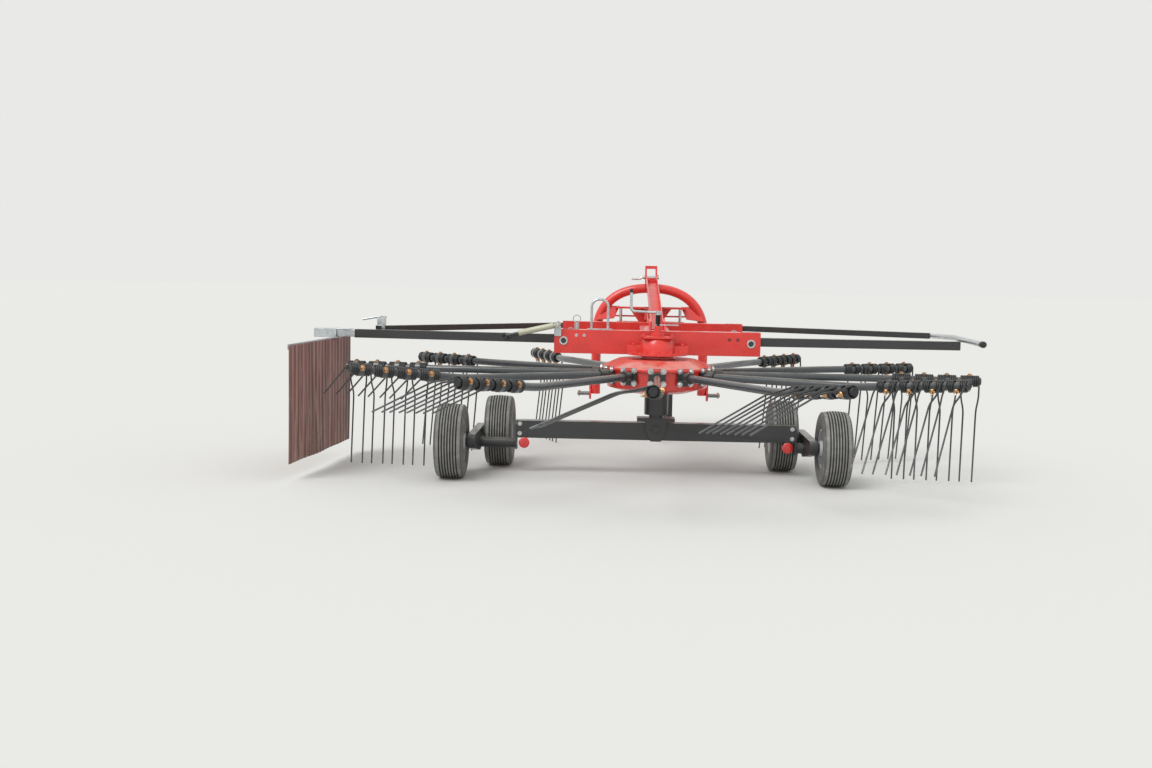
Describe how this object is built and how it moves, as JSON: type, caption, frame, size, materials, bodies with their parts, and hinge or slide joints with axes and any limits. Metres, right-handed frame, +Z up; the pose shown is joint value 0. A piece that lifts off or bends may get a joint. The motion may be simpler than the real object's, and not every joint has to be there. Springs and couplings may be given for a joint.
{
  "type": "rotary rake",
  "caption": "Three-point mounted single-rotor rotary rake with tine arms, tandem-wheel axle, folding side guards, swath curtain and swivelling headstock.",
  "frame": {"origin": "middle of the bounding box's base, on the ground the wheels stand on", "axes": "+Y forward in travel, +Z up, +X to the right seen from behind, the curtain on -X"},
  "size_m": [3.85, 3.8886, 1.209],
  "materials": {
    "red_paint": "gloss",
    "dark_paint": "satin",
    "galvanised": "satin",
    "rod_steel": "gloss",
    "rim_paint": "satin",
    "tyre_rubber": "matte",
    "cloth": "matte",
    "plastic": "matte",
    "reflector_red": "gloss",
    "strut_paint": "satin"
  },
  "bodies": {
    "frame": {"bogie_left": "red_paint", "bogie_right": "red_paint", "axle_beam": "red_paint", "reflector_left": "reflector_red", "reflector_right": "reflector_red", "column": "dark_paint", "gearbox": "dark_paint", "rear_beam": "red_paint", "front_beam": "red_paint", "main_beam": "red_paint", "input_shaft": "rod_steel", "shaft_guard": "plastic", "mast_stay": "red_paint", "height_crank": "dark_paint", "hose_hoop": "galvanised", "latch_pin": "galvanised", "strut_bracket": "red_paint", "stand_sleeve": "red_paint"},
    "rotor": {"rotor_hub": "dark_paint", "arm_sockets": "dark_paint", "tine_arm_01": "dark_paint", "tine_arm_02": "dark_paint", "tine_arm_03": "dark_paint", "tine_arm_04": "dark_paint", "tine_arm_05": "dark_paint", "tine_arm_06": "dark_paint", "tine_arm_07": "dark_paint", "tine_arm_08": "dark_paint", "tine_arm_09": "dark_paint", "tine_arm_10": "dark_paint", "tine_arm_11": "dark_paint", "tine_arm_12": "dark_paint"},
    "headstock": {"headstock_hoop": "dark_paint", "headstock_cross": "red_paint", "king_pin": "rod_steel", "top_link_bracket": "red_paint", "upper_pin": "rod_steel", "top_link_pin": "rod_steel", "lower_link_pin_left": "dark_paint", "lower_link_pin_right": "dark_paint"},
    "left_guard": {"left_guard_rear_tube": "dark_paint", "left_guard_front_tube": "dark_paint"},
    "right_guard": {"right_guard_rear_tube": "dark_paint", "right_guard_front_tube": "dark_paint", "right_guard_rail": "galvanised"},
    "carrier": {"curtain_carrier": "galvanised", "curtain_bar": "galvanised", "curtain": "cloth"},
    "leg": {"parking_leg": "galvanised"},
    "lift_cylinder": {"strut_cylinder": "strut_paint"},
    "lift_rod": {"strut_rod": "rod_steel"},
    "wheel_left_outer": {"tyre_left_outer": "tyre_rubber", "rim_left_outer": "rim_paint"},
    "wheel_left_inner": {"tyre_left_inner": "tyre_rubber", "rim_left_inner": "rim_paint"},
    "wheel_right_outer": {"tyre_right_outer": "tyre_rubber", "rim_right_outer": "rim_paint"},
    "wheel_right_inner": {"tyre_right_inner": "tyre_rubber", "rim_right_inner": "rim_paint"}
  },
  "joints": [
    {"name": "rotor_spin", "type": "hinge", "parent": "frame", "child": "rotor", "pos_m": [0.10795, -0.09766, 0.592], "axis": [0, 0, 1], "continuous": true},
    {"name": "wheel_left_outer_spin", "type": "hinge", "parent": "frame", "child": "wheel_left_outer", "pos_m": [-1.04205, -0.33765, 0.21], "axis": [1, 0, 0], "continuous": true},
    {"name": "wheel_left_inner_spin", "type": "hinge", "parent": "frame", "child": "wheel_left_inner", "pos_m": [-0.81705, 0.20234, 0.21], "axis": [1, 0, 0], "continuous": true},
    {"name": "wheel_right_outer_spin", "type": "hinge", "parent": "frame", "child": "wheel_right_outer", "pos_m": [1.09295, -0.33765, 0.21], "axis": [1, 0, 0], "continuous": true},
    {"name": "wheel_right_inner_spin", "type": "hinge", "parent": "frame", "child": "wheel_right_inner", "pos_m": [0.86795, 0.20234, 0.21], "axis": [1, 0, 0], "continuous": true},
    {"name": "headstock_swivel", "type": "hinge", "parent": "frame", "child": "headstock", "pos_m": [0.10795, 1.80235, 0.894], "axis": [0, 0, 1], "range_deg": [-12, 12]},
    {"name": "left_guard_fold", "type": "hinge", "parent": "frame", "child": "left_guard", "pos_m": [-0.43705, 0.05235, 0.765], "axis": [0, 1, 0], "range_deg": [0, 85]},
    {"name": "right_guard_fold", "type": "hinge", "parent": "frame", "child": "right_guard", "pos_m": [0.65295, 0.05235, 0.765], "axis": [0, -1, 0], "range_deg": [0, 85]},
    {"name": "curtain_slide", "type": "slide", "parent": "left_guard", "child": "carrier", "axis": [-0.9917, 0.1282, 0], "range_m": [0, 0.35]},
    {"name": "parking_leg_slide", "type": "slide", "parent": "frame", "child": "leg", "axis": [0, 0, 1], "range_m": [0, 0.25]},
    {"name": "lift_cylinder_swing", "type": "hinge", "parent": "frame", "child": "lift_cylinder", "pos_m": [-0.47105, -0.01366, 0.858], "axis": [0, 1, 0], "range_deg": [0, 109.16]},
    {"name": "lift_rod_slide", "type": "slide", "parent": "lift_cylinder", "child": "lift_rod", "axis": [-0.9742, 0, -0.2255], "range_m": [-0.0665, 0]}
  ],
  "couplings": [
    {"joint": "lift_cylinder_swing", "follows": "left_guard_fold", "ratio": 1.2783},
    {"joint": "lift_rod_slide", "follows": "left_guard_fold", "m_per_rad": -0.044144}
  ]
}
